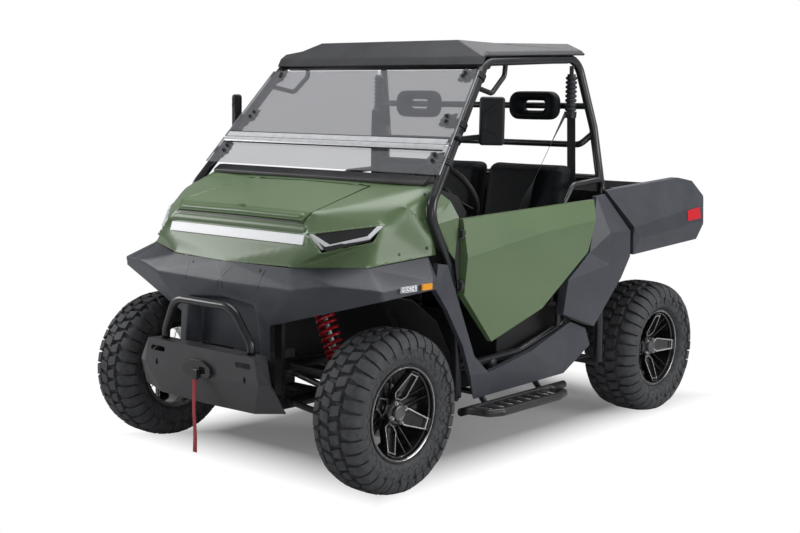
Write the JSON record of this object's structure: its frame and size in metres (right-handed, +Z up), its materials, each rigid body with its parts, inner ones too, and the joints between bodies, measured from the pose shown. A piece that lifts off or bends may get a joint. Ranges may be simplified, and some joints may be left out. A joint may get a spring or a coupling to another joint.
{
  "type": "side by side utility vehicle",
  "caption": "Open side by side utility vehicle with a tube cage, half doors, tipping cargo bed, steered front wheels and knobbly tyres.",
  "frame": {"origin": "on the ground below the middle of the vehicle's length and width", "axes": "+Z up, nose towards -Y, left side towards +X"},
  "size_m": [1.758, 2.8, 1.816],
  "materials": {
    "tyre": "matt",
    "rim": "gloss black with machined edges",
    "frame_paint": "satin black",
    "plain_steel": "bare",
    "spring_red": "gloss",
    "body_green": "satin moulded in colour",
    "charcoal": "grained",
    "black_plastic": "grained",
    "clear_screen": "clear",
    "lamp": "clear over black",
    "lamp_white": "frosted",
    "lamp_red": "clear",
    "vinyl": "grained black",
    "webbing": "woven",
    "webbing_red": "woven",
    "roof_plastic": "grained",
    "cast": "cast"
  },
  "bodies": {
    "chassis": {"chassis_frame": "frame_paint", "suspension_arms": "frame_paint", "shock_springs": "spring_red", "shock_dampers": "plain_steel", "drive_units": "cast", "battery_pack": "black_plastic", "half_shafts": "plain_steel", "roll_cage": "frame_paint", "roof_panel": "roof_plastic", "windshield_lower": "clear_screen", "windshield_upper": "clear_screen", "windshield_clamps": "black_plastic", "front_body": "body_green", "headlamps": "lamp", "light_bar": "lamp_white", "cowl_trim": "black_plastic", "front_fascia": "charcoal", "bumper_plate": "frame_paint", "bull_bar": "frame_paint", "winch": "plain_steel", "hook_strap": "webbing_red", "wheel_liners": "black_plastic", "cabin_floor": "black_plastic", "seat_base": "black_plastic", "seats": "vinyl", "headrests": "vinyl", "seat_belts": "webbing", "dashboard": "black_plastic", "side_mirrors": "black_plastic", "shock_towers": "frame_paint", "quarter_panels": "charcoal", "sill_panels": "charcoal", "cowl_cheeks": "body_green", "side_steps": "frame_paint", "fender_lamps": "lamp_white", "rear_uprights": "frame_paint"},
    "wheel_fl": {"tyre_fl": "tyre", "rim_fl": "rim"},
    "wheel_fr": {"tyre_fr": "tyre", "rim_fr": "rim"},
    "wheel_rl": {"tyre_rl": "tyre", "rim_rl": "rim"},
    "wheel_rr": {"tyre_rr": "tyre", "rim_rr": "rim"},
    "knuckle_left": {"knuckle_left": "cast"},
    "knuckle_right": {"knuckle_right": "cast"},
    "rack": {"steering_rack": "plain_steel"},
    "handwheel": {"steering_wheel": "black_plastic"},
    "hood": {"hood_lid": "body_green"},
    "left_door": {"door_left": "body_green"},
    "right_door": {"door_right": "body_green"},
    "bed": {"cargo_bed": "frame_paint", "bed_side_panels": "charcoal", "tail_lamps": "lamp_red"},
    "gate": {"tailgate": "frame_paint"}
  },
  "joints": [
    {"name": "steering", "type": "hinge", "parent": "chassis", "child": "knuckle_left", "pos_m": [0.6, -0.994, 0.33], "axis": [0, 0, 1], "range_deg": [-30, 30]},
    {"name": "steering_right", "type": "hinge", "parent": "chassis", "child": "knuckle_right", "pos_m": [-0.6, -0.994, 0.33], "axis": [0, 0, 1], "range_deg": [-30, 30]},
    {"name": "rack_slide", "type": "slide", "parent": "chassis", "child": "rack", "axis": [-1, 0, 0], "range_m": [-0.058, 0.058]},
    {"name": "handwheel_turn", "type": "hinge", "parent": "chassis", "child": "handwheel", "pos_m": [0.362, -0.25, 1.13], "axis": [0, 0.848, 0.5299], "range_deg": [-270, 270]},
    {"name": "wheel_fl_roll", "type": "hinge", "parent": "knuckle_left", "child": "wheel_fl", "pos_m": [0.679, -0.994, 0.33], "axis": [1, 0, 0], "continuous": true},
    {"name": "wheel_fr_roll", "type": "hinge", "parent": "knuckle_right", "child": "wheel_fr", "pos_m": [-0.679, -0.994, 0.33], "axis": [1, 0, 0], "continuous": true},
    {"name": "wheel_rl_roll", "type": "hinge", "parent": "chassis", "child": "wheel_rl", "pos_m": [0.64, 0.989, 0.33], "axis": [1, 0, 0], "continuous": true},
    {"name": "wheel_rr_roll", "type": "hinge", "parent": "chassis", "child": "wheel_rr", "pos_m": [-0.64, 0.989, 0.33], "axis": [1, 0, 0], "continuous": true},
    {"name": "hood_lift", "type": "hinge", "parent": "chassis", "child": "hood", "pos_m": [0, -0.764, 1.19], "axis": [-1, 0, 0], "range_deg": [0, 60]},
    {"name": "left_door_swing", "type": "hinge", "parent": "chassis", "child": "left_door", "pos_m": [0.762, -0.632, 0.9], "axis": [0, 0, -1], "range_deg": [0, 68]},
    {"name": "right_door_swing", "type": "hinge", "parent": "chassis", "child": "right_door", "pos_m": [-0.762, -0.632, 0.9], "axis": [0, 0, 1], "range_deg": [0, 68]},
    {"name": "bed_tip", "type": "hinge", "parent": "chassis", "child": "bed", "pos_m": [0, 1.255, 0.846], "axis": [-1, 0, 0], "range_deg": [0, 42]},
    {"name": "tailgate_drop", "type": "hinge", "parent": "bed", "child": "gate", "pos_m": [0, 1.386, 0.888], "axis": [-1, 0, 0], "range_deg": [0, 92]}
  ],
  "couplings": [
    {"joint": "steering_right", "follows": "steering", "ratio": 1},
    {"joint": "rack_slide", "follows": "steering", "m_per_rad": 0.11},
    {"joint": "handwheel_turn", "follows": "steering", "ratio": 9}
  ]
}
